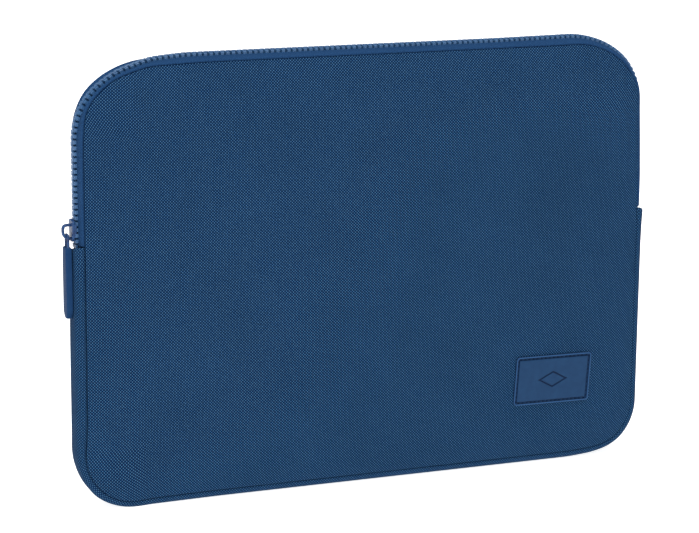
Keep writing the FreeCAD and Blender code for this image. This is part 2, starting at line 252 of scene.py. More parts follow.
def grained(name, colour, worn, roughness, grainSize, grainDepth, specular=0.5):
    # moulded or painted skin: a fine grain, slightly paler where it is rubbed
    material, tree, surface = newMaterial(name)
    place = addNode(tree, "ShaderNodeTexCoord").outputs["Object"]
    grain = addNode(tree, "ShaderNodeTexNoise",
                    {"Vector": place, "Scale": 1 / grainSize, "Detail": 3.0, "Roughness": 0.55})
    broad = addNode(tree, "ShaderNodeTexNoise", {"Vector": place, "Scale": 0.08 / grainSize, "Detail": 3.0})
    patches = addNode(tree, "ShaderNodeMapRange", {"Value": broad, "From Min": 0.35, "From Max": 0.75})
    shade = addNode(tree, "ShaderNodeMix", {"Factor": patches, "A": linear(colour), "B": linear(worn)},
                    data_type="RGBA")
    rough = addNode(tree, "ShaderNodeMapRange",
                    {"Value": grain, "To Min": roughness - 0.06, "To Max": roughness + 0.08})
    tree.links.new(rough.outputs[0], surface.inputs["Roughness"])
    dress(tree, surface, shade, grain, grainDepth, 0.6, specular=specular)
    return material


def pressedRubber():
    # pressed soft rubber: an even satin face, with shade painted darker down in its grooves and a highlight
    # painted paler along its raised rim
    material = grained("pressedRubberPatch", "#183759", "#1B3C5F", 0.55, 0.3 * mm, 0.012 * mm, 0.12)
    tree = material.node_tree
    surface = next(n for n in tree.nodes if n.type == "BSDF_PRINCIPLED")
    face = surface.inputs["Base Color"].links[0].from_socket
    # painted light, read from a per-vertex mark: a paler colour painted on the raised rim as a highlight, a
    # darker colour painted in the grooves as shade
    paintedLight = addNode(tree, "ShaderNodeAttribute", attribute_name="paintedLight").outputs["Fac"]
    paintedHighlight, paintedShade = (addNode(tree, "ShaderNodeMapRange", {"Value": paintedLight, "From Min": 0.0, "From Max": most})
                    for most in (1.0, -1.0))
    highlighted = addNode(tree, "ShaderNodeMix", {"Factor": paintedHighlight, "A": face, "B": linear("#2A4E77")},
                    data_type="RGBA")
    darker = addNode(tree, "ShaderNodeMix", {"Factor": paintedShade, "A": highlighted, "B": linear("#0B2344")},
                     data_type="RGBA")
    tree.links.new(darker.outputs["Result"], surface.inputs["Base Color"])
    return material


def makeMaterials():
    made = {
        "canvas": canvas(),
        "zipperTape": fineWeave("wovenZipperTape", "#2A5078", "#0E2A50", cloth["tapePitch"], 0.0),
        "lining": fineWeave("knitLining", "#1B2943", "#10192C", cloth["knitPitch"], 0.03),
        "binding": fineWeave("bindingRibbon", "#16233D", "#0B1426", cloth["bindingPitch"], 0.03),
        "thread": fineWeave("polyesterThread", "#34597F", "#1B3A60", cloth["twistPitch"], 0.1),
        "teeth": grained("mouldedAcetal", "#2E5680", "#3A658F", 0.42, 0.35 * mm, 0.01 * mm),
        "paint": grained("paintedZinc", "#122F5A", "#224A7A", 0.4, 0.25 * mm, 0.01 * mm, 0.3),
        "rubber": grained("mouldedSilicone", "#14345A", "#18395F", 0.6, 0.3 * mm, 0.02 * mm, 0.08),
        "patch": pressedRubber(),
    }
    print("materials made")
    return made


# ---- the sleeve's outline ----

outline = {
    "halfWidth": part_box("gusset_right_outer_strip")[1].x,
    "height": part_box("back_zipper_tape")[1].z + 1.8 * mm,  # the tape lies that far inside the outline
    "zipEndZ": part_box("front_zipper_tape_ends")[0].z,
    "bottomLeft": 36 * mm,
    "topLeft": 48 * mm,
    "topRight": 48 * mm,
    "bottomRight": 32 * mm,
    "step": 0.5 * mm,
    "ridgeDepth": 4.0 * mm,  # nearer the middle than this a point follows the ridge
    "seamDepth": 8.5 * mm,  # and further out it follows the seams
    "fadeFrom": 6 * mm,  # from here inwards a bulge of the outline dies away
    "fadeTo": 46 * mm,
    "blend": 9 * mm,  # the knots below are joined by straight lines, rounded over this length
    "ridge": [  # (station, how far out), mm: the zipper, and the gusset's middle
        (0, 0), (56, 0), (74, 1.0), (86, 0.4), (100, -0.9), (118, -1.7), (130, -0.2), (146, 1.1), (330, 1.2),
        (385, 1.8), (414, 3.1), (430, 1.9), (446, -2.0), (458, -1.2), (485, 0.3), (530, 0.2), (600, -0.4),
        (645, 0), (664, -2.2), (680, -0.4), (900, -0.2), (944, 0.2), (958, 1.6), (967, 3.3), (980, 2.4),
        (1000, 1.3), (1060, 1.1), (1095, 0.6),
    ],
    "seam": [  # the same for the front seam
        (0, -0.2), (50, -0.3), (62, -0.5), (78, 2.3), (100, 1.0), (112, -0.6), (130, -0.4), (155, 0.4),
        (370, 0.4), (400, 1.5), (414, 2.2), (430, 1.6), (444, -1.2), (458, -0.6), (485, 0.3), (600, 0.3),
        (625, 0.2), (645, 0), (664, -1.2), (682, 0), (900, 0), (940, 0.6), (955, 2.6), (967, 3.3), (985, 2.8),
        (997, 1.2), (1012, 0.3), (1060, 0),
    ],
    "backSeam": [  # and for the back seam
        (0, 0), (55, -0.3), (72, 1.6), (86, 2.5), (110, 0.6), (132, -0.3), (150, 0.3), (370, 0.3), (414, 2.0),
        (446, -0.8), (470, 0), (940, 0), (967, 2.0), (990, 0.8), (1060, 0.6),
    ],
}


def smooth(value, low, high):
    t = np.clip((value - low) / (high - low), 0, 1)
    return t * t * (3 - 2 * t)


def traceOutline():
    # the outline clockwise from the zipper's left end: rows of station, x, z, inward x, inward z and radius
    w, h, zipZ = outline["halfWidth"], outline["height"], outline["zipEndZ"]
    bl, tl, tr, br = (outline[k] for k in ("bottomLeft", "topLeft", "topRight", "bottomRight"))
    spans = [
        ("line", (-w, zipZ), (-w, h - tl)),
        ("arc", (-w + tl, h - tl), tl, 180),
        ("line", (-w + tl, h), (w - tr, h)),
        ("arc", (w - tr, h - tr), tr, 90),
        ("line", (w, h - tr), (w, br)),
        ("arc", (w - br, br), br, 0),
        ("line", (w - br, 0), (-w + bl, 0)),
        ("arc", (-w + bl, bl), bl, -90),
        ("line", (-w, bl), (-w, zipZ)),
    ]
    rows, middles, start = [], [], 0.0
    for span in spans:
        if span[0] == "line":
            a, b = np.array(span[1]), np.array(span[2])
            length = np.linalg.norm(b - a)
            count = int(length / outline["step"])
            along = (b - a) / length
            inward = (along[1], -along[0])
            for i in range(count):
                p = a + (b - a) * i / count
                rows.append((start + length * i / count, *p, *inward, 1.0))
        else:
            (cx, cz), r, angle = span[1:]
            length = r * math.pi / 2
            count = 2 * int(length / outline["step"] / 2)
            middles.append(len(rows) + count // 2)
            for i in range(count):
                a = math.radians(angle - 90 * i / count)
                rows.append((start + length * i / count, cx + r * math.cos(a), cz + r * math.sin(a),
                             -math.cos(a), -math.sin(a), r))
        start += length
    return np.array(rows), middles, start


table, cornerRows, outlineLength = traceOutline()
onRight = np.abs(table[:, 1] - outline["halfWidth"]) < 1e-6
zipLength = float(table[onRight & (table[:, 2] <= outline["zipEndZ"])][0, 0])


def onOutline(station):
    s = np.mod(station, outlineLength)
    closed = np.vstack([table, [outlineLength, *table[0, 1:]]])
    return [np.interp(s, closed[:, 0], closed[:, i]) for i in range(1, 5)]


def unevenEdge(knots):
    # how far out the edge stands at every row of the outline's table
    at, height = np.array(knots, float).T * mm
    straight = np.interp(table[:, 0], at, height, period=outlineLength)
    window = np.hanning(2 * round(outline["blend"] / outline["step"]) + 1)
    reach = len(window) // 2
    wrapped = np.concatenate([straight[-reach:], straight, straight[:reach]])
    return np.convolve(wrapped, window / window.sum(), "valid")


edgeOut = {name: unevenEdge(outline[name]) for name in ("ridge", "seam", "backSeam")}


def outward(station, inset, depth):
    # how far a point is pushed out by the sleeve's own unevenness
    ridge, front, back = (np.interp(station, table[:, 0], edge, period=outlineLength)
                          for edge in edgeOut.values())
    near = smooth(np.abs(depth), outline["ridgeDepth"], outline["seamDepth"])
    push = ridge * (1 - near) + np.where(depth < 0, front, back) * near
    return push * (1 - smooth(inset, outline["fadeFrom"], outline["fadeTo"]))


def place(station, inset, depth):
    station, inset, depth = np.broadcast_arrays(*(np.asarray(v, float) for v in (station, inset, depth)))
    x, z, inX, inZ = onOutline(station)
    n = inset - outward(station, inset, depth)
    return np.stack([x + inX * n, depth, z + inZ * n], -1)


# ---- making meshes ----

def makePiece(name, points, faces, material, uv=None, sharp=35):
    # a mesh object at the origin with its faces outwards. uv gives each vertex its place on the cloth
    mesh = bpy.data.meshes.new(name)
    mesh.from_pydata([tuple(p) for p in points], [], faces)
    if uv is not None:
        layer = mesh.uv_layers.new(name="clothUV")
        corners = np.zeros(len(mesh.loops), int)
        mesh.loops.foreach_get("vertex_index", corners)
        layer.data.foreach_set("uv", np.asarray(uv, np.float32)[corners].ravel())
    work = bmesh.new()
    work.from_mesh(mesh)
    bmesh.ops.recalc_face_normals(work, faces=work.faces)
    work.to_mesh(mesh)
    work.free()
    return linkPiece(name, mesh, material, sharp)


def linkPiece(name, mesh, material, sharp=35):
    mesh.materials.clear()
    mesh.materials.append(material)
    mesh.polygons.foreach_set("use_smooth", [True] * len(mesh.polygons))
    mesh.set_sharp_from_angle(angle=math.radians(sharp))
    mesh.update()
    return showObject(name, mesh)


def meshFrom(work, name):
    mesh = bpy.data.meshes.new(name)
    work.to_mesh(mesh)
    work.free()
    return mesh


def skin(work, rings):
    # faces over rings of as many vertices each, and over both ends
    for a, b in zip(rings[:-1], rings[1:], strict=True):
        for k in range(len(a)):
            work.faces.new((a[k], a[(k + 1) % len(a)], b[(k + 1) % len(a)], b[k]))
    work.faces.new(rings[0])
    work.faces.new(list(reversed(rings[-1])))


def roundedCorners(corners, r, steps):
    # quarter circles round (x, y, first angle) centres, clockwise, each in as many steps
    points = []
    for x, y, first in corners:
        for i in range(steps + 1):
            a = math.radians(first - 90 * i / steps)
            points.append((x + r * math.cos(a), y + r * math.sin(a)))
    return points


def finishPiece(piece, body=None, replaces=()):
    if body:
        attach(piece, body)
    else:
        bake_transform(piece)
    if replaces:
        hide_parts(*replaces)
    return piece


def sweep(name, stations, profile, material, lift=None, slant=None, closed=False):
    # a profile of (depth, inset) points, in mm, carried along the outline: right round, or with closed ends
    shape = np.array(profile) * mm
    stations = np.asarray(stations)
    raised = np.zeros(len(stations)) if lift is None else lift(stations)
    fuller = 1 + raised[:, None] / strips["fullness"]
    along = stations[:, None] + (0 if slant is None else slant(stations)[:, None] * shape[None, :, 0])
    grid = place(along, shape[None, :, 1] - raised[:, None], shape[None, :, 0] * fuller)
    rows, columns = grid.shape[:2]
    points = grid.reshape(-1, 3)
    faces = []
    for i in range(rows if closed else rows - 1):
        a, b = i * columns, ((i + 1) % rows) * columns
        faces += [(a + j, a + (j + 1) % columns, b + (j + 1) % columns, b + j) for j in range(columns)]
    if not closed:
        faces.append(tuple(range(columns)))
        faces.append(tuple(reversed(range((rows - 1) * columns, rows * columns))))
    girth = np.concatenate([[0], np.cumsum(np.linalg.norm(np.diff(shape, axis=0), axis=1))])
    uv = np.stack(np.broadcast_arrays(girth[None, :], stations[:, None]), -1).reshape(-1, 2)
    return makePiece(name, points, faces, material, uv)


def spaced(start, end, step):
    return np.linspace(start, end, max(2, round(abs(end - start) / step) + 1))


# ---- padded covers ----

cover = {
    "cell": 2.0 * mm,
    "rim": [  # (inset, depth) in mm, from inside the seam out over the edge of the foam
        (6.2, 7.2), (5.4, 7.7), (4.95, 8.2), (4.8, 8.6), (4.95, 8.88), (5.5, 9.05), (6.4, 9.2), (7.6, 9.42),
        (9.0, 9.7), (10.4, 9.98), (11.8, 10.25), (13.2, 10.48), (14.6, 10.66),
    ],
    "crown": [(14.6, 10.66), (17, 10.82), (21, 10.94), (26, 11.0), (60, 11.05), (125, 11.1)],
    "backDepth": 7.35,  # mm, where the foam ends and the lining begins
    "billow": 0.3 * mm,  # broad unevenness of the padding
    "billowSize": 75 * mm,
    "billowFade": 18 * mm,  # it grows over this much from the seam
    "pucker": 0.07 * mm,  # small gathers along the seam
    "puckerSize": 7 * mm,
    "puckerFade": 6 * mm,
    "seamInset": 5 * mm,
}


def insetRing(inset):
    # dense points of the outline moved inwards: x, z and station
    n = np.minimum(inset, table[:, 5])
    w, h = outline["halfWidth"], outline["height"]
    x = np.clip(table[:, 1] + table[:, 3] * n, -w + inset, w - inset)
    z = np.clip(table[:, 2] + table[:, 4] * n, inset, h - inset)
    return np.stack([x, z, table[:, 0]], -1)


def panelGrid(edge, cell):
    # a grid over the panel whose outer ring follows the outline at the edge inset: x, z, station and inset
    nx = round((2 * outline["halfWidth"] - 2 * edge) / cell)
    ny = 2 * (round((outline["height"] - 2 * edge) / cell) // 2) + 1
    grid = np.zeros((nx + 1, ny + 1, 4))
    topLeft, topRight, bottomRight, bottomLeft = cornerRows
    stepIn = (outline["height"] / 2 - edge) / (ny / 2)
    for k in range((ny + 1) // 2):
        inset = edge + k * stepIn
        ring = insetRing(inset)
        dense = np.vstack([ring, ring + [0, 0, outlineLength]])
        sides = [
            (topLeft, topRight, [(i, ny - k) for i in range(k, nx - k + 1)]),
            (topRight, bottomRight, [(nx - k, j) for j in range(ny - k, k - 1, -1)]),
            (bottomRight, bottomLeft, [(i, k) for i in range(nx - k, k - 1, -1)]),
            (bottomLeft, topLeft + len(ring), [(k, j) for j in range(k, ny - k + 1)]),
        ]
        for first, last, cells in sides:
            part = dense[first:last + 1]
            run = np.concatenate([[0], np.cumsum(np.linalg.norm(np.diff(part[:, :2], axis=0), axis=1))])
            run += np.arange(len(run)) * 1e-9
            wanted = np.linspace(0, run[-1], len(cells))
            for column in range(3):
                values = np.interp(wanted, run, part[:, column])
                for (i, j), value in zip(cells, values, strict=True):
                    grid[i, j, column] = value
            for i, j in cells:
                grid[i, j, 3] = inset
    return grid


def gridFaces(nx, ny, start=0):
    corners = [start + i * (ny + 1) + j for i in range(nx) for j in range(ny)]
    return [(c, c + ny + 1, c + ny + 2, c + 1) for c in corners]


def gridBorder(nx, ny):
    # indexes of a grid's outer nodes in order round it, from the top left
    order = ([(i, ny) for i in range(nx)] + [(nx, j) for j in range(ny, 0, -1)]
              + [(i, 0) for i in range(nx, 0, -1)] + [(0, j) for j in range(ny)])
    return [i * (ny + 1) + j for i, j in order]


def stitchRings(a, b):
    count = len(a)
    return [(a[i], a[(i + 1) % count], b[(i + 1) % count], b[i]) for i in range(count)]


def unevenness(points, inset, seed):
    # how far the padding stands out of its smooth form at each (x, z)
    out = np.zeros(len(points))
    for i, (x, z) in enumerate(points):
        broad = noise.noise(Vector((x / cover["billowSize"], seed, z / cover["billowSize"])))
        small = noise.noise(Vector((x / cover["puckerSize"], seed + 7, z / cover["puckerSize"])))
        within = max(inset[i] - cover["seamInset"], 0)
        edge = math.exp(-within / cover["puckerFade"])
        held = 1 - math.exp(-within / cover["billowFade"])
        out[i] = cover["billow"] * broad * held + cover["pucker"] * small * edge
    return out


patch = {  # all in mm
    "centre": (112.4, 50.9),
    "half": (24.0, 14.5),
    "corner": 2.0,
    "lean": (0.066, -0.012),  # it is sewn on a little out of square
    "rings": [  # inset from the patch's edge and height off the canvas, mm
        (0.3, -0.3), (0.05, 0.2), (0.0, 0.8), (0.1, 1.2), (0.35, 1.42), (0.65, 1.42), (0.9, 1.2), (1.0, 0.7),
        (1.1, 0.35), (1.5, 0.28), (1.9, 0.35), (2.05, 0.7), (2.15, 0.98), (2.4, 1.1), (3.2, 1.12),
    ],
    "lozenge": (9.5, 5.0),  # half its width and height
    # the emblem is a plain lozenge pressed into the face: how large each step is, and how high
    "emblem": [(1.0, 0.0), (0.98, -0.36), (0.79, -0.42), (0.77, -0.04), (0.5, 0.0), (0.1, 0.0)],
    "paintedLightHeights": (0.3, 0.75, 0.95, 1.15, 1.4),
    "paintedLight": (-1, -1, 0, 0, 1),  # at those heights: 1 for the painted highlight on the raised rim, -1 for the painted shade down in the grooves
    "stitchInset": 1.5,
    "stitchHeight": 0.72,
    "stitchPitch": 2.6,
    "stitch": (0.95, 0.3),  # half length and half thickness
    "stitchForm": [(-1.0, 0.35), (-0.7, 0.85), (0.0, 1.0), (0.7, 0.85), (1.0, 0.35)],
    "stitchSides": 6,
    "face": 11.0,  # how deep the canvas lies under it
}

settle = {
    "pressure": 3.0,
    "stiffness": 20,
    "bending": 3,
    "mass": 0.3,
    "quality": 5,
    "frames": 20,
    "holdTo": 26 * mm,  # stiff piping of foam along the edge: the canvas is freer this far inside the seam
    "cap": 0.7 * mm,
    "patchMargin": 2.5,  # mm round the sewn patch, where the canvas is held as well
}


def settleCloth(face, faces, border, insets, side):
    # lets the canvas swell over its foam, held along the seam and under the patch
    mesh = bpy.data.meshes.new("settling")
    mesh.from_pydata([tuple(p) for p in face], [], faces if side < 0 else [tuple(reversed(f)) for f in faces])
    sheet = showObject("settling", mesh)
    held = sheet.vertex_groups.new(name="held")
    weights = 1 - smooth(insets, insets.min(), settle["holdTo"])
    if side < 0:
        reach = [abs(face[:, axis] / mm - centre) - half for axis, centre, half in
                 zip((0, 2), patch["centre"], patch["half"], strict=True)]
        under = 1 - smooth(np.maximum(*reach), 0, settle["patchMargin"])
        weights = np.maximum(weights, under)
    weights[border] = 1
    for i, weight in enumerate(weights):
        held.add([i], float(weight), "REPLACE")
    modifier = sheet.modifiers.new("settle", "CLOTH")
    fabric = modifier.settings
    fabric.quality = settle["quality"]
    fabric.mass = settle["mass"]
    fabric.tension_stiffness = fabric.compression_stiffness = settle["stiffness"]
    fabric.bending_stiffness = settle["bending"]
    fabric.vertex_group_mass = "held"
    fabric.use_pressure = True
    fabric.uniform_pressure_force = settle["pressure"]
    fabric.effector_weights.gravity = 0
    modifier.collision_settings.use_collision = False
    modifier.point_cache.frame_start, modifier.point_cache.frame_end = 1, settle["frames"]
    for frameNumber in range(1, settle["frames"] + 1):
        bpy.context.scene.frame_set(frameNumber)
    graph = bpy.context.evaluated_depsgraph_get()
    settled = np.zeros(len(face) * 3)
    sheet.evaluated_get(graph).data.vertices.foreach_get("co", settled)
    bpy.data.objects.remove(sheet)
    bpy.context.scene.frame_set(1)
    shift = settled.reshape(-1, 3) - face
    length = np.linalg.norm(shift, axis=1, keepdims=True)
    print("canvas settled, furthest", round(float(length.max()) / mm, 2), "mm, mean",
          round(float(length.mean()) / mm, 2))
    return face + shift * np.minimum(1, settle["cap"] / np.maximum(length, 1e-9))


def makeCover(name, side, material, seed):
    # one padded face: the canvas over its foam, as one crowned closed form. side is -1 in front and 1 behind
    edge = cover["rim"][-1][0] * mm
    grid = panelGrid(edge, cover["cell"])
    nx, ny = grid.shape[0] - 1, grid.shape[1] - 1
    flat = grid.reshape(-1, 4)
    crown = np.array(cover["crown"]) * mm
    depth = np.interp(flat[:, 3], crown[:, 0], crown[:, 1]) + unevenness(flat[:, :2], flat[:, 3], seed)
    x, z, inX, inZ = onOutline(flat[:, 2])
    push = outward(flat[:, 2], flat[:, 3], side * depth)
    face = np.stack([flat[:, 0] - inX * push, side * depth, flat[:, 1] - inZ * push], -1)
    faces = gridFaces(nx, ny)
    border = gridBorder(nx, ny)
    face = settleCloth(face, faces, border, flat[:, 3], side)
    points, uv = [face], [flat[:, :2]]
    stations = flat[border, 2]
    baseX, baseZ, baseInX, baseInZ = onOutline(stations)
    rim = np.array(cover["rim"]) * mm
    slack = np.linalg.norm(np.diff(rim, axis=0), axis=1)
    run = rim[-1, 0] - np.concatenate([np.cumsum(slack[::-1])[::-1], [0]])
    start, outer = len(face), border
    for i in range(len(rim) - 2, -1, -1):
        ripple = unevenness(flat[border][:, :2], np.full(len(border), rim[i, 0]), seed)
        points.append(place(stations, rim[i, 0], side * (rim[i, 1] + ripple)))
        uv.append(np.stack([baseX + baseInX * run[i], baseZ + baseInZ * run[i]], -1))
        ring = list(range(start, start + len(border)))
        faces += stitchRings(outer, ring)
        start, outer = start + len(border), ring
    back = face.copy()
    back[:, 1] = side * cover["backDepth"] * mm
    points.append(back)
    uv.append(flat[:, :2])
    faces += [tuple(reversed(f)) for f in gridFaces(nx, ny, start)]
    faces += stitchRings(outer, [start + i for i in border])
    piece = makePiece(name, np.vstack(points), faces, material, np.vstack(uv), sharp=60)
    return piece


# ---- gusset, tapes, linings and bindings ----

strips = {
    "step": 2.5 * mm,
    "joinX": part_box("gusset_left_outer_strip")[1].x,
    "gusset": [
        (7.2, 5.5), (7.8, 5.0), (8.3, 4.3), (8.65, 3.6), (8.6, 2.9), (8.3, 2.0), (7.6, 1.1), (6.6, 0.42),
        (5.2, 0.06), (3.5, 0.0), (0.0, 0.0),
    ],
    "gussetInside": [(0.0, 1.95), (4.5, 1.95), (5.4, 2.3), (6.2, 3.4), (6.6, 4.6)],
    # how far out the gusset's turned end stands, at so many mm from the end
    "lip": [(0, -1.2), (0.25, -0.3), (0.7, 0.3), (1.5, 0.5), (3.5, 0.45), (9, 0.2), (20, 0)],
    "lipLength": 4.0 * mm,
    "lipStep": 0.25 * mm,
    "fullness": 10 * mm,  # a strip standing out this far would be twice as deep
    "slant": 0.2,
    "slantOver": 15 * mm,
    "tape": [
        (7.2, 5.6), (7.8, 5.1), (8.35, 4.4), (8.6, 3.7), (8.45, 3.2), (7.8, 2.8), (6.6, 2.62), (5.0, 2.6),
        (3.7, 2.6), (3.2, 2.5), (2.85, 2.75), (3.1, 3.05), (3.7, 3.1), (5.0, 3.1), (6.8, 3.5), (7.0, 4.8),
    ],
    "tapeEnd": [(-3, -1.6), (0.3, -1.4), (0.8, -0.5), (1.4, 0)],  # mm inside the zipper's end, mm out
    "tapeTuck": 3.0 * mm,  # how far the tape runs on under the gusset
    "tapeWidth": 10.5 * mm,
    "liningOut": [(0.0, 2.0), (4.6, 2.0), (5.4, 2.4), (5.7, 3.0)],
    "liningIn": [(5.4, 3.1), (5.1, 2.8), (4.5, 2.4), (0.0, 2.4)],
    "liningWidth": 13 * mm,
    "binding": [
        (4.9, 5.6), (5.1, 5.1), (5.8, 5.0), (6.6, 5.1), (6.85, 5.7), (6.85, 6.4), (6.5, 6.95), (5.7, 7.0),
        (5.1, 6.9), (4.9, 6.3),
    ],
}


def gussetProfile():
    outer, inner = strips["gusset"], strips["gussetInside"]
    return (
        [(-d, n) for d, n in outer] + [(d, n) for d, n in reversed(outer[:-1])]
        + [(d, n) for d, n in reversed(inner)] + [(-d, n) for d, n in inner[1:]]
    )


def gussetLip(stations):
    # the strip's turned end: tucked in at its edge, then standing a little proud
    ends = np.minimum(np.abs(stations - zipLength), np.abs(stations - outlineLength))
    return np.interp(ends, *np.array(strips["lip"]).T * mm)


def gussetSlant(stations):
    # and cut higher in front than behind
    first = 1 - smooth(stations - zipLength, 0, strips["slantOver"])
    last = 1 - smooth(outlineLength - stations, 0, strips["slantOver"])
    return strips["slant"] * (first - last)


def tapeSunk(stations):
    # the tape turns down in front of the gusset's end
    inside = np.minimum(stations, zipLength - stations)
    return np.interp(inside, *np.array(strips["tapeEnd"]).T * mm)


def tapeSlant(stations):
    first = 1 - smooth(stations, 0, strips["slantOver"])
    last = 1 - smooth(zipLength - stations, 0, strips["slantOver"])
    return strips["slant"] * (last - first)


def makeStrips(materials):
    step, fine, length, tuck = (strips[k] for k in ("step", "lipStep", "lipLength", "tapeTuck"))
    joinStation = float(table[(table[:, 2] < 1e-6) & (table[:, 1] < strips["joinX"])][0, 0])
    for name, start, end, nodes in (
            ("gussetRight", zipLength, joinStation, ["gusset_right_outer_strip", "gusset_foam_strip"]),
            ("gussetLeft", joinStation, outlineLength, ["gusset_left_outer_strip"])):
        ends = spaced(0, length, fine)
        stations = np.unique(np.concatenate([spaced(start, end, step), start + ends, end - ends]))
        piece = sweep(name, stations, gussetProfile(), materials["canvas"], gussetLip, gussetSlant)
        finishPiece(piece, "sleeve", nodes)

    ends = spaced(-tuck, length, fine)
    tapeRun = np.unique(np.concatenate([spaced(-tuck, zipLength + tuck, step), ends, zipLength - ends]))
    for name, side, lies, body, nodes in (
            ("frontZipperTape", -1, "frontCover", None, ["front_zipper_tape", "front_zipper_tape_ends"]),
            ("backZipperTape", 1, "backCover", "sleeve", ["back_zipper_tape"])):
        profile = [(side * d, n) for d, n in strips["tape"]]
        piece = sweep(name, tapeRun, profile, materials["zipperTape"], tapeSunk, tapeSlant)
        finishPiece(piece, body, nodes)

    outer, inner = strips["liningOut"], strips["liningIn"]
    profile = ([(-d, n) for d, n in reversed(outer)] + outer[1:] + inner
               + [(-d, n) for d, n in reversed(inner[:-1])])
    piece = sweep("gussetLining", spaced(zipLength, outlineLength, step), profile, materials["lining"])
    finishPiece(piece, "sleeve", ["gusset_lining_strip"])
    print("gusset and tapes made")


def makeBinding(name, side, material):
    profile = [(side * d, n) for d, n in strips["binding"]]
    rows = round(outlineLength / strips["step"])
    stations = np.linspace(0, outlineLength, rows, endpoint=False)
    return sweep(name, stations, profile, material, closed=True)


liner = {
    "edge": 6.6 * mm,
    "cell": 4.0 * mm,
    "depths": (6.95, 7.3),  # mm
    "ripple": 0.12 * mm,
    "rippleSize": 30 * mm,
}


def makeLining(name, side, material, seed):
    # the lining of one face: a thin sheet with its edge caught under the binding
    grid = panelGrid(liner["edge"], liner["cell"])
    nx, ny = grid.shape[0] - 1, grid.shape[1] - 1
    flat = grid.reshape(-1, 4)
    ripple = np.array([liner["ripple"] * noise.noise(Vector((x, seed, z)) / liner["rippleSize"])
                       for x, z in flat[:, :2]])
    layers = [np.stack([flat[:, 0], side * (depth * mm - np.abs(ripple)), flat[:, 1]], -1)
              for depth in liner["depths"]]
    faces = gridFaces(nx, ny) + [tuple(reversed(f)) for f in gridFaces(nx, ny, len(flat))]
    border = gridBorder(nx, ny)
    faces += stitchRings(border, [len(flat) + i for i in border])
    return makePiece(name, np.vstack(layers), faces, material, np.vstack([flat[:, :2]] * 2), sharp=60)


# ---- rows of teeth and stitches ----

def rowTree():
    # copies of a shape at even steps along a path, turned to follow it
    tree = bpy.data.node_groups.new("rowAlongPath", "GeometryNodeTree")
    for name, kind in (("Path", "Geometry"), ("Shape", "Object"), ("Count", "Int"), ("Facing", "Vector"),
                       ("Finish", "Material")):
        tree.interface.new_socket(name=name, in_out="INPUT", socket_type="NodeSocket" + kind)
    tree.interface.new_socket(name="Row", in_out="OUTPUT", socket_type="NodeSocketGeometry")
    given = tree.nodes.new("NodeGroupInput").outputs
    line = addNode(tree, "GeometryNodeMeshToCurve", {"Mesh": given["Path"]})
    points = addNode(tree, "GeometryNodeCurveToPoints", {"Curve": line, "Count": given["Count"]},
                     mode="COUNT")
    turn = addNode(tree, "FunctionNodeAxesToRotation", {0: points.outputs["Tangent"], 1: given["Facing"]},
                   primary_axis="X", secondary_axis="Z")
    shape = addNode(tree, "GeometryNodeObjectInfo", {"Object": given["Shape"]})
    copies = addNode(tree, "GeometryNodeInstanceOnPoints",
                     {"Points": points, "Instance": shape.outputs["Geometry"], "Rotation": turn})
    real = addNode(tree, "GeometryNodeRealizeInstances", {0: copies})
    painted = addNode(tree, "GeometryNodeSetMaterial", {"Geometry": real, "Material": given["Finish"]})
    addNode(tree, "NodeGroupOutput", {"Row": painted})
    return tree


def makeRow(name, tree, path, closed, shape, count, facing, material):
    mesh = bpy.data.meshes.new(name + "Path")
    links = [(i, i + 1) for i in range(len(path) - 1)] + ([(len(path) - 1, 0)] if closed else [])
    mesh.from_pydata([tuple(p) for p in path], links, [])
    row = showObject(name + "Path", mesh)
    modifier = row.modifiers.new("row", "NODES")
    modifier.node_group = tree
    sockets = {s.name: s.identifier for s in tree.interface.items_tree if s.in_out == "INPUT"}
    for socket, value in (("Shape", shape), ("Count", count), ("Facing", facing), ("Finish", material)):
        modifier[sockets[socket]] = value
    graph = bpy.context.evaluated_depsgraph_get()
    made = bpy.data.meshes.new_from_object(row.evaluated_get(graph), depsgraph=graph)
    bpy.data.objects.remove(row)
    made.name = name
    return linkPiece(name, made, material)


tooth = {
    "pitch": 3.2 * mm,
    "first": 4.3 * mm,
    "pathInset": 2.3 * mm,
    "pathStep": 1 * mm,
    "body": ((-1.0, 1.0), (-1.3, 1.2), (1.5, 3.7)),  # mm along the zipper, outwards, and away from its middle
    "head": ((-1.25, 1.25), (-0.9, 1.6), (0.05, 1.9)),
    "tongue": ((-0.3, 0.3), (-0.8, 1.5), (-1.25, 0.2)),
    "bevel": 0.16 * mm,
}


def beveledBox(work, ranges, bevel):
    (x0, x1), (y0, y1), (z0, z1) = [[v * mm for v in r] for r in ranges]
    made = bmesh.ops.create_cube(work, size=1.0, matrix=Matrix.Translation(
        ((x0 + x1) / 2, (y0 + y1) / 2, (z0 + z1) / 2)) @ Matrix.Diagonal((x1 - x0, y1 - y0, z1 - z0, 1)))
    edges = {e for v in made["verts"] for e in v.link_edges}
    bmesh.ops.bevel(work, geom=list(edges), offset=bevel, segments=1, affect="EDGES", profile=0.5)


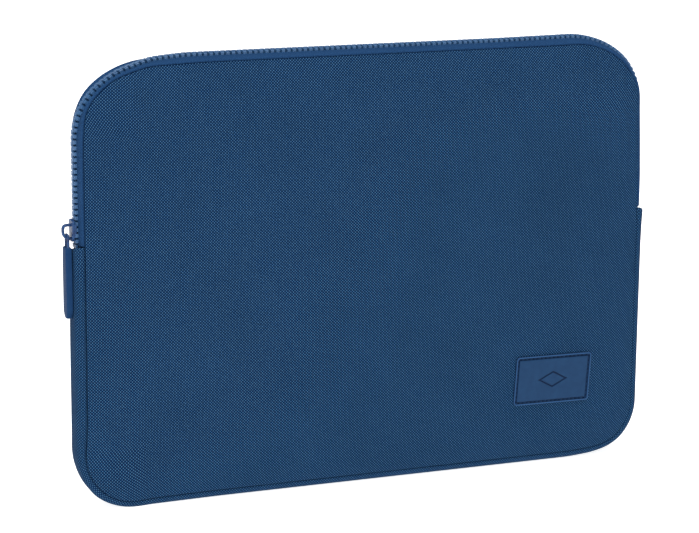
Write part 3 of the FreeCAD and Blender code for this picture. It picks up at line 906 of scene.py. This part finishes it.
def makeTeeth(tree, materials):
    work = bmesh.new()
    for part, bevel in (("body", tooth["bevel"]), ("head", tooth["bevel"]), ("tongue", tooth["bevel"] / 2)):
        beveledBox(work, tooth[part], bevel)
    shape = showObject("toothShape", meshFrom(work, "toothShape"))
    first, last = tooth["first"], zipLength - tooth["first"]
    count = round((last - first) / tooth["pitch"]) + 1
    half = (last - first) / (count - 1) / 2  # the back row's teeth stand between the front row's
    front = place(spaced(first, last, tooth["pathStep"]), tooth["pathInset"], 0.0)
    piece = makeRow("frontZipperTeeth", tree, front, False, shape, count, (0, -1, 0), materials["teeth"])
    finishPiece(piece, None, ["front_zipper_teeth", "front_zipper_end_teeth"])
    back = place(spaced(last - half, first + half, tooth["pathStep"]), tooth["pathInset"], 0.0)
    piece = makeRow("backZipperTeeth", tree, back, False, shape, count - 1, (0, 1, 0), materials["teeth"])
    finishPiece(piece, "sleeve", ["back_zipper_teeth"])
    bpy.data.objects.remove(shape)
    print("teeth made:", 2 * count - 1)


# ---- slider, wire loop and puller ----

slider = {  # all in mm
    "outerPlate": (-0.7, 0.6),  # insets
    "innerPlate": (4.1, 5.2),
    "plateZ": (151.0, 163.0),
    "halfWidthTop": 4.4,
    "halfWidthBottom": 3.4,
    "corner": 2.2,
    "cornerSteps": 6,
    "edgeBevel": 0.3,
    "flangeT": 0.6,
    "flangeBevel": 0.12,
    "flangeLap": 0.2,
    "outerFlangeTo": 1.7,
    "innerFlangeTo": 3.5,
    "post": [(0.0, 151.6), (0.42, 153.2), (0.0, 154.8), (-0.42, 153.2)],  # the diamond between the plates
    "bridge": [(-0.3, 159.9), (-2.7, 160.0), (-4.3, 159.5), (-4.95, 158.2), (-5.0, 156.6), (-4.75, 155.0),
               (-3.8, 153.5), (-2.1, 152.6), (-0.3, 152.4)],  # (inset, height) of its middle line
    "bridgeSmoothing": 6,
    "bridgeHalfW": 1.25,
    "bridgeHalfT": 0.72,
    "bridgeSides": 16,
}


def plateOutline():
    # the slider's plate seen from outside, as (depth, z) in mm: broad shoulders and a narrower foot
    z0, z1 = slider["plateZ"]
    top, foot, r = slider["halfWidthTop"], slider["halfWidthBottom"], slider["corner"]
    corners = ((top - r, z1 - r, 90), (foot - r, z0 + r, 0), (-foot + r, z0 + r, -90),
               (-top + r, z1 - r, -180))
    return roundedCorners(corners, r, slider["cornerSteps"])


def extrudeShape(work, outlinePoints, insets):
    # a plate from (depth, z) points, between two insets of the sleeve's left side
    left = -outline["halfWidth"]
    rings = [[work.verts.new((left + n * mm, y * mm, z * mm)) for y, z in outlinePoints] for n in insets]
    count = len(outlinePoints)
    for i in range(count):
        j = (i + 1) % count
        work.faces.new((rings[0][i], rings[0][j], rings[1][j], rings[1][i]))
    caps = [work.faces.new(rings[0]), work.faces.new(list(reversed(rings[1])))]
    return [e for cap in caps for e in cap.edges]


def makeSlider(materials):
    work = bmesh.new()
    left = -outline["halfWidth"]
    edges = []
    for insets in (slider["outerPlate"], slider["innerPlate"]):
        edges += extrudeShape(work, plateOutline(), insets)
    bmesh.ops.bevel(work, geom=edges, offset=slider["edgeBevel"] * mm, segments=3, affect="EDGES",
                    profile=0.6)
    z0, z1 = slider["plateZ"]
    r, t, lap = slider["corner"], slider["flangeT"], slider["flangeLap"]
    top, foot = slider["halfWidthTop"], slider["halfWidthBottom"]
    outerRange = (slider["outerPlate"][1] - lap, slider["outerFlangeTo"])
    innerRange = (slider["innerFlangeTo"], slider["innerPlate"][0] + lap)
    for side in (-1, 1):  # the flanges that keep the teeth in
        rail = [(side * top, z1 - r), (side * foot, z0 + r), (side * (foot - t), z0 + r),
                (side * (top - t), z1 - r)]
        for insets in (outerRange, innerRange):
            bmesh.ops.bevel(work, geom=extrudeShape(work, rail, insets),
                            offset=slider["flangeBevel"] * mm, segments=1, affect="EDGES")
    extrudeShape(work, slider["post"], (outerRange[0], innerRange[1]))
    line = smoothLine([(left + n * mm, 0.0, z * mm) for n, z in slider["bridge"]],
                      slider["bridgeSmoothing"])
    strap(work, line, slider["bridgeHalfW"] * mm, slider["bridgeHalfT"] * mm, slider["bridgeSides"])
    bmesh.ops.recalc_face_normals(work, faces=work.faces)
    piece = linkPiece("sliderBody", meshFrom(work, "sliderBody"), materials["paint"], sharp=40)
    return finishPiece(piece, "slider", ["slider"])


def smoothLine(points, perSpan):
    # points of a Catmull-Rom curve through the given ones
    p = [Vector(v) for v in points]
    p = [2 * p[0] - p[1], *p, 2 * p[-1] - p[-2]]
    line = []
    for i in range(1, len(p) - 2):
        for k in range(perSpan):
            t = k / perSpan
            a, b, c, d = p[i - 1], p[i], p[i + 1], p[i + 2]
            line.append(0.5 * ((2 * b) + (c - a) * t + (2 * a - 5 * b + 4 * c - d) * t * t
                               + (3 * b - a - 3 * c + d) * t ** 3))
    return line + [p[-2]]


def strap(work, line, halfWidth, halfThickness, sides):
    # a rounded strap along a line in the XZ plane, wide in Y, with closed ends
    rings = []
    for i, p in enumerate(line):
        along = (line[min(i + 1, len(line) - 1)] - line[max(i - 1, 0)]).normalized()
        across = Vector((0, 1, 0))
        out = along.cross(across)
        ring = []
        for k in range(sides):
            a = 2 * math.pi * k / sides
            c, s = math.cos(a), math.sin(a)
            w = halfWidth * math.copysign(abs(c) ** 0.5, c)
            t = halfThickness * math.copysign(abs(s) ** 0.7, s)
            ring.append(work.verts.new(p + across * w + out * t))
        rings.append(ring)
    skin(work, rings)


puller = {  # all in mm
    "x": -172.8,
    "stations": [  # height, half width, half thickness
        (148.2, 2.2, 0.9), (148.05, 2.9, 1.35), (147.6, 3.3, 1.62), (146.8, 3.5, 1.75), (144.0, 3.62, 1.8),
        (138.0, 3.85, 1.8), (132.0, 4.0, 1.8), (120.0, 4.0, 1.8), (113.5, 4.0, 1.8), (112.3, 3.95, 1.8),
        (110.6, 2.9, 1.78), (109.2, 1.95, 1.7), (108.7, 1.7, 1.5), (108.5, 1.4, 1.0),
    ],
    "corner": 0.5,
    "cornerMost": 0.8,  # of the half width or thickness, where that is smaller
    "cornerSteps": 4,
}


def makePuller(materials):
    work = bmesh.new()
    rings = []
    most, steps = puller["cornerMost"], puller["cornerSteps"]
    for z, w, t in puller["stations"]:
        ring = []
        r = min(puller["corner"], t * most, w * most)
        for cx, cy, first in ((t - r, w - r, 0), (-t + r, w - r, 90), (-t + r, -w + r, 180),
                              (t - r, -w + r, 270)):
            for i in range(steps + 1):
                a = math.radians(first + 90 * i / steps)
                ring.append(work.verts.new(((puller["x"] + cx + r * math.cos(a)) * mm,
                                            (cy + r * math.sin(a)) * mm, z * mm)))
        rings.append(ring)
    skin(work, rings)
    bmesh.ops.recalc_face_normals(work, faces=work.faces)
    piece = linkPiece("rubberPuller", meshFrom(work, "rubberPuller"), materials["rubber"], sharp=40)
    return finishPiece(piece, "puller", ["rubber_puller"])


# ---- patch ----

def patchLoop(inset, perCorner=8, across=24, down=14):
    # points of the patch's rounded rectangle moved inwards, clockwise, as (x, z) from its centre, in mm
    (w, h), r = patch["half"], patch["corner"]
    w, h, r = w - inset, h - inset, max(r - inset, 0.25)
    points = []
    for cx, cz, first, (sx, sz), count in (
            (w - r, h - r, 90, (0, -1), down), (w - r, -h + r, 0, (-1, 0), across),
            (-w + r, -h + r, -90, (0, 1), down), (-w + r, h - r, -180, (1, 0), across)):
        points += roundedCorners([(cx, cz, first)], r, perCorner)
        length = 2 * (h - r) if sx == 0 else 2 * (w - r)
        x, z = points[-1]
        points += [(x + sx * length * i / count, z + sz * length * i / count) for i in range(1, count)]
    return points


def onPatch(x, z, height):
    cx, cz = patch["centre"]
    a, b = patch["lean"]
    return ((cx + x + a * z) * mm, -(patch["face"] + height) * mm, (cz + z + b * x) * mm)


def makePatch(tree, materials):
    points, faces, rings = [], [], []
    for inset, height in patch["rings"]:
        loop = patchLoop(inset)
        rings.append(list(range(len(points), len(points) + len(loop))))
        points += [onPatch(x, z, height) for x, z in loop]
    for a, b in zip(rings[:-1], rings[1:], strict=True):
        faces += stitchRings(a, b)
    faces.append(tuple(reversed(rings[0])))
    level, last = patch["rings"][-1][1], rings[-1]
    for radius, height in patch["emblem"]:
        ring = list(range(len(points), len(points) + len(last)))
        for x, z in patchLoop(patch["rings"][-1][0]):
            reach = radius / (abs(x) / patch["lozenge"][0] + abs(z) / patch["lozenge"][1])
            points.append(onPatch(x * reach, z * reach, level + height))
        faces += stitchRings(last, ring)
        last = ring
    faces.append(tuple(last))
    piece = makePiece("frontPatch", points, faces, materials["patch"], sharp=50)
    # marks each ring for painted light: a painted highlight on the raised rim, painted shade down in the
    # grooves
    paintedLight = piece.data.attributes.new("paintedLight", "FLOAT", "POINT")
    heights = [height for _, height in patch["rings"]] + [level + height for _, height in patch["emblem"]]
    marks = np.repeat(np.interp(heights, patch["paintedLightHeights"], patch["paintedLight"]), len(rings[0]))
    paintedLight.data.foreach_set("value", marks.astype(np.float32))
    finishPiece(piece, "sleeve", ["front_patch"])

    half, thick = (v * mm for v in patch["stitch"])
    sides = patch["stitchSides"]
    angles = [math.radians(360 / sides * k) for k in range(sides)]
    work = bmesh.new()
    skin(work, [[work.verts.new((half * t, thick * scale * math.cos(a),
                                 -thick * t * t + thick * scale * math.sin(a))) for a in angles]
                for t, scale in patch["stitchForm"]])
    bmesh.ops.recalc_face_normals(work, faces=work.faces)
    shape = showObject("stitchShape", meshFrom(work, "stitchShape"))
    path = [onPatch(x, z, patch["stitchHeight"]) for x, z in patchLoop(patch["stitchInset"])]
    around = sum((Vector(a) - Vector(b)).length for a, b in zip(path, path[1:] + path[:1], strict=True))
    count = round(around / mm / patch["stitchPitch"])
    row = makeRow("patchStitches", tree, path, True, shape, count, (0, -1, 0), materials["thread"])
    finishPiece(row, "sleeve", ["patch_stitches"])
    bpy.data.objects.remove(shape)
    print("patch made")


# ---- everything ----

makeStage()
materials = makeMaterials()
rows = rowTree()

for name, side, seed, nodes in (
        ("frontCover", -1, 3.0, ["front_lower_outer_panel", "front_upper_outer_panel", "front_lower_foam",
                                 "front_upper_foam"]),
        ("backCover", 1, 11.0, ["back_outer_panel", "back_foam"])):
    piece = makeCover(name, side, materials["canvas"], seed)
    finishPiece(piece, "sleeve" if side > 0 else None, nodes)
print("covers made")

for name, side, seed, nodes in (("frontLining", -1, 5.0, ["front_lower_lining", "front_upper_lining"]),
                                ("backLining", 1, 8.0, ["back_lining"])):
    piece = makeLining(name, side, materials["lining"], seed)
    finishPiece(piece, "sleeve" if side > 0 else None, nodes)

for name, side, nodes in (("frontSeamBinding", -1, ["front_lower_seam_binding", "front_upper_seam_binding"]),
                          ("backSeamBinding", 1, ["back_seam_binding"])):
    piece = makeBinding(name, side, materials["binding"])
    finishPiece(piece, "sleeve" if side > 0 else None, nodes)

makeStrips(materials)
makeTeeth(rows, materials)
makeSlider(materials)
makePuller(materials)
makePatch(rows, materials)

for node, material in (("zipper_stops", "teeth"), ("pull_wire_loop", "paint")):
    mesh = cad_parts[node].data
    mesh.materials.clear()
    mesh.materials.append(materials[material])
